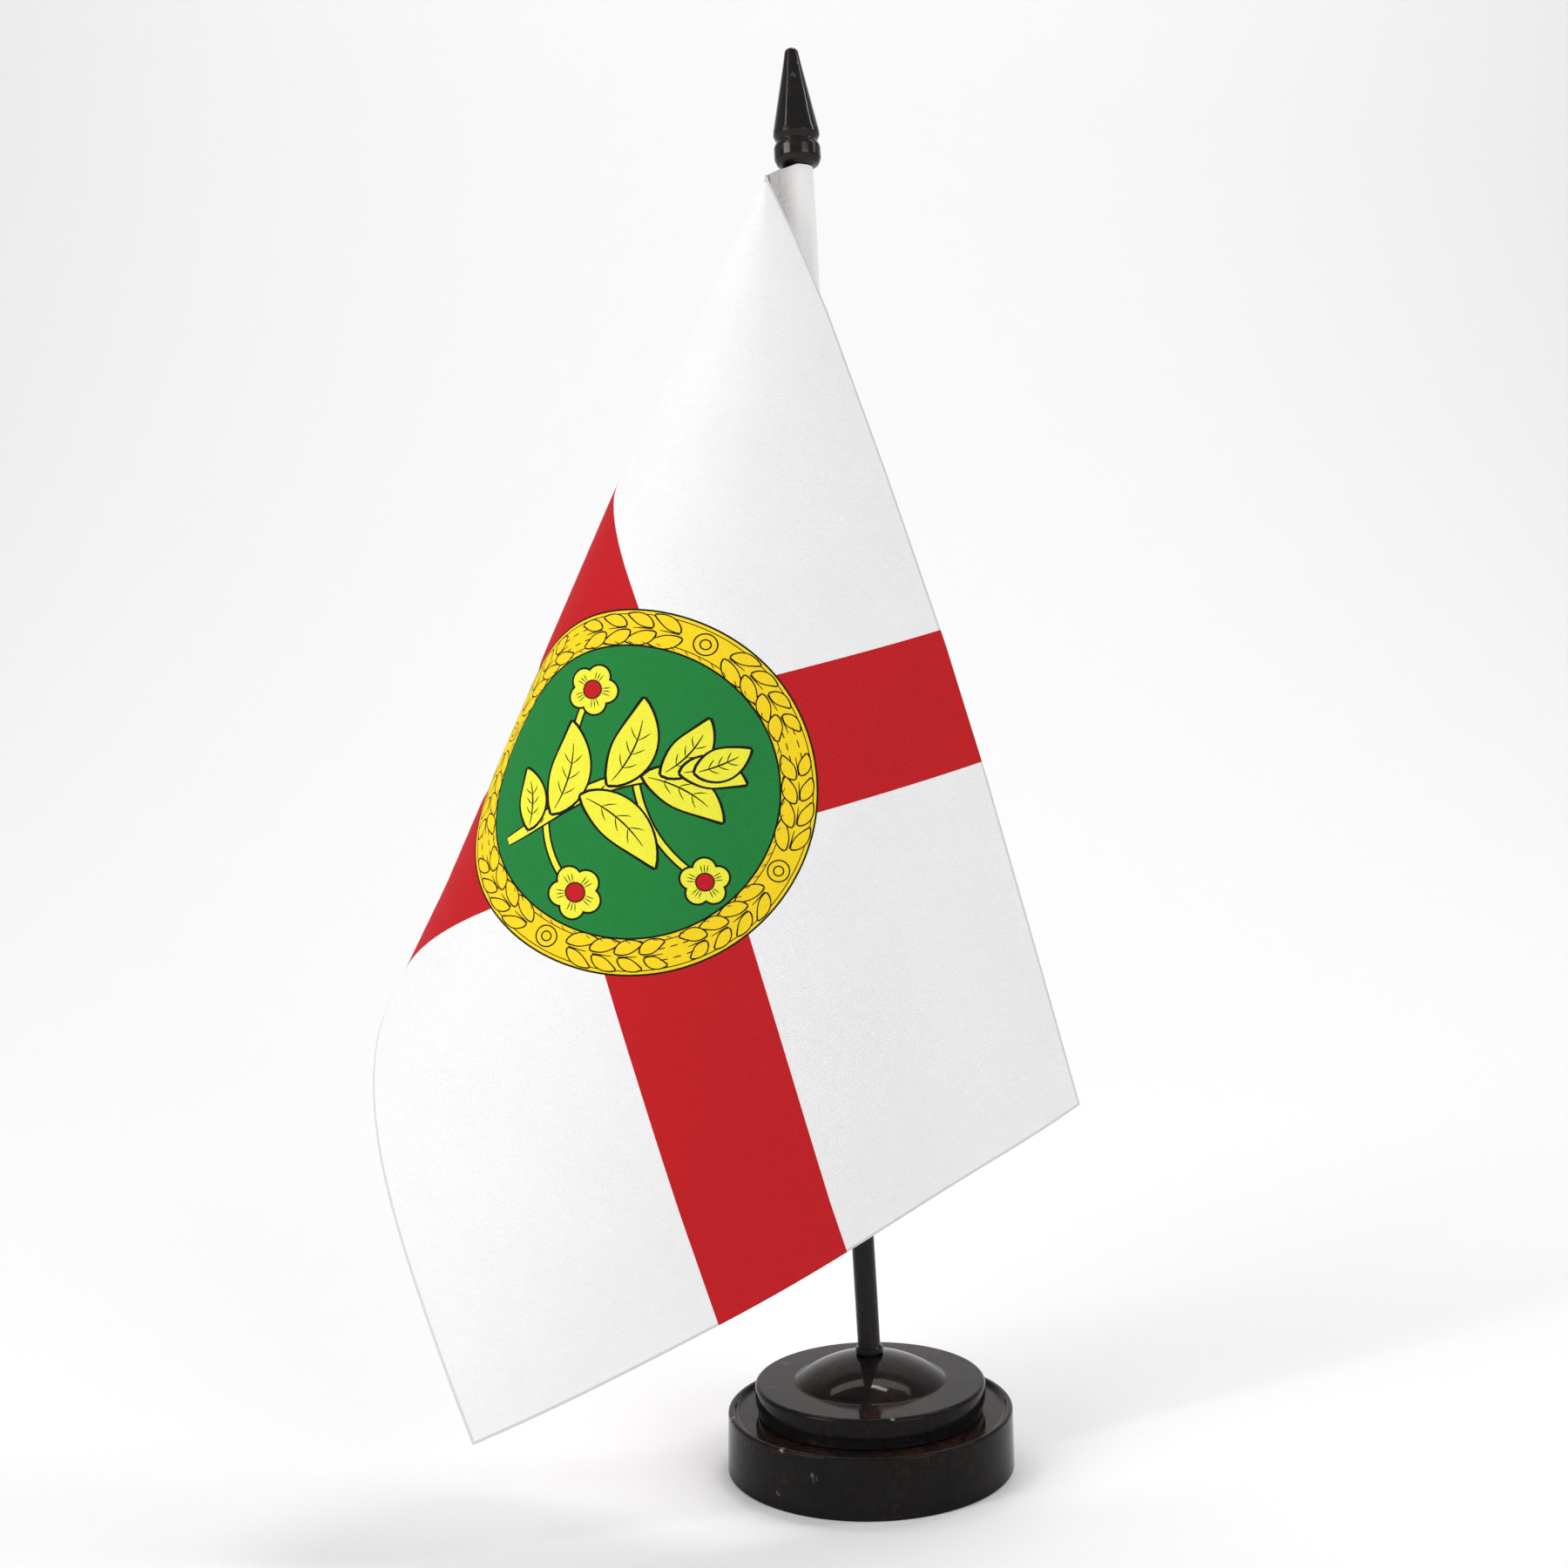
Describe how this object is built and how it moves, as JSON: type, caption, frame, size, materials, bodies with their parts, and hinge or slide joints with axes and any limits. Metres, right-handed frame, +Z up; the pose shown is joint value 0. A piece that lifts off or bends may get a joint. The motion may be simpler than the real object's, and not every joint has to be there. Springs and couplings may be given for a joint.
{
  "type": "desk flag stand",
  "caption": "Table-top flag on a slim stick with a spear finial, plugged into a round two-tier base with a domed socket; the cloth hangs in one loose fold.",
  "frame": {"origin": "centre of the base's underside, at the height of the table", "axes": "+Z up, the base's turning axis; -Y towards the viewer who sees the flag's face; -X the side that the flag hangs to and the stick leans to"},
  "size_m": [0.1396, 0.0688, 0.2818],
  "materials": {
    "base_plastic": "black moulded plastic with a high gloss and fine scuffs",
    "stick_plastic": "black drawn plastic rod, satin gloss",
    "finial_plastic": "black moulded plastic, glossy",
    "cloth": "plain-woven white polyester, printed",
    "thread": "white sewing thread"
  },
  "bodies": {
    "base": {"base_disc": "base_plastic", "base_cap": "base_plastic"},
    "stick": {"stick": "stick_plastic"},
    "finial": {"finial": "finial_plastic"},
    "flag": {"flag_cloth": "cloth", "hoist_sleeve": "cloth", "needle_thread": "thread", "bobbin_thread": "thread"}
  },
  "joints": [
    {"name": "stick_lift", "type": "slide", "parent": "base", "child": "stick", "axis": [-0.0454, 0, 0.999], "range_m": [0, 0.016]},
    {"name": "finial_pull", "type": "slide", "parent": "stick", "child": "finial", "axis": [-0.0454, 0, 0.999], "range_m": [0, 0.012]},
    {"name": "flag_swivel", "type": "hinge", "parent": "stick", "child": "flag", "pos_m": [0.00025, 0, 0.0155], "axis": [-0.0454, 0, 0.999], "continuous": true}
  ]
}
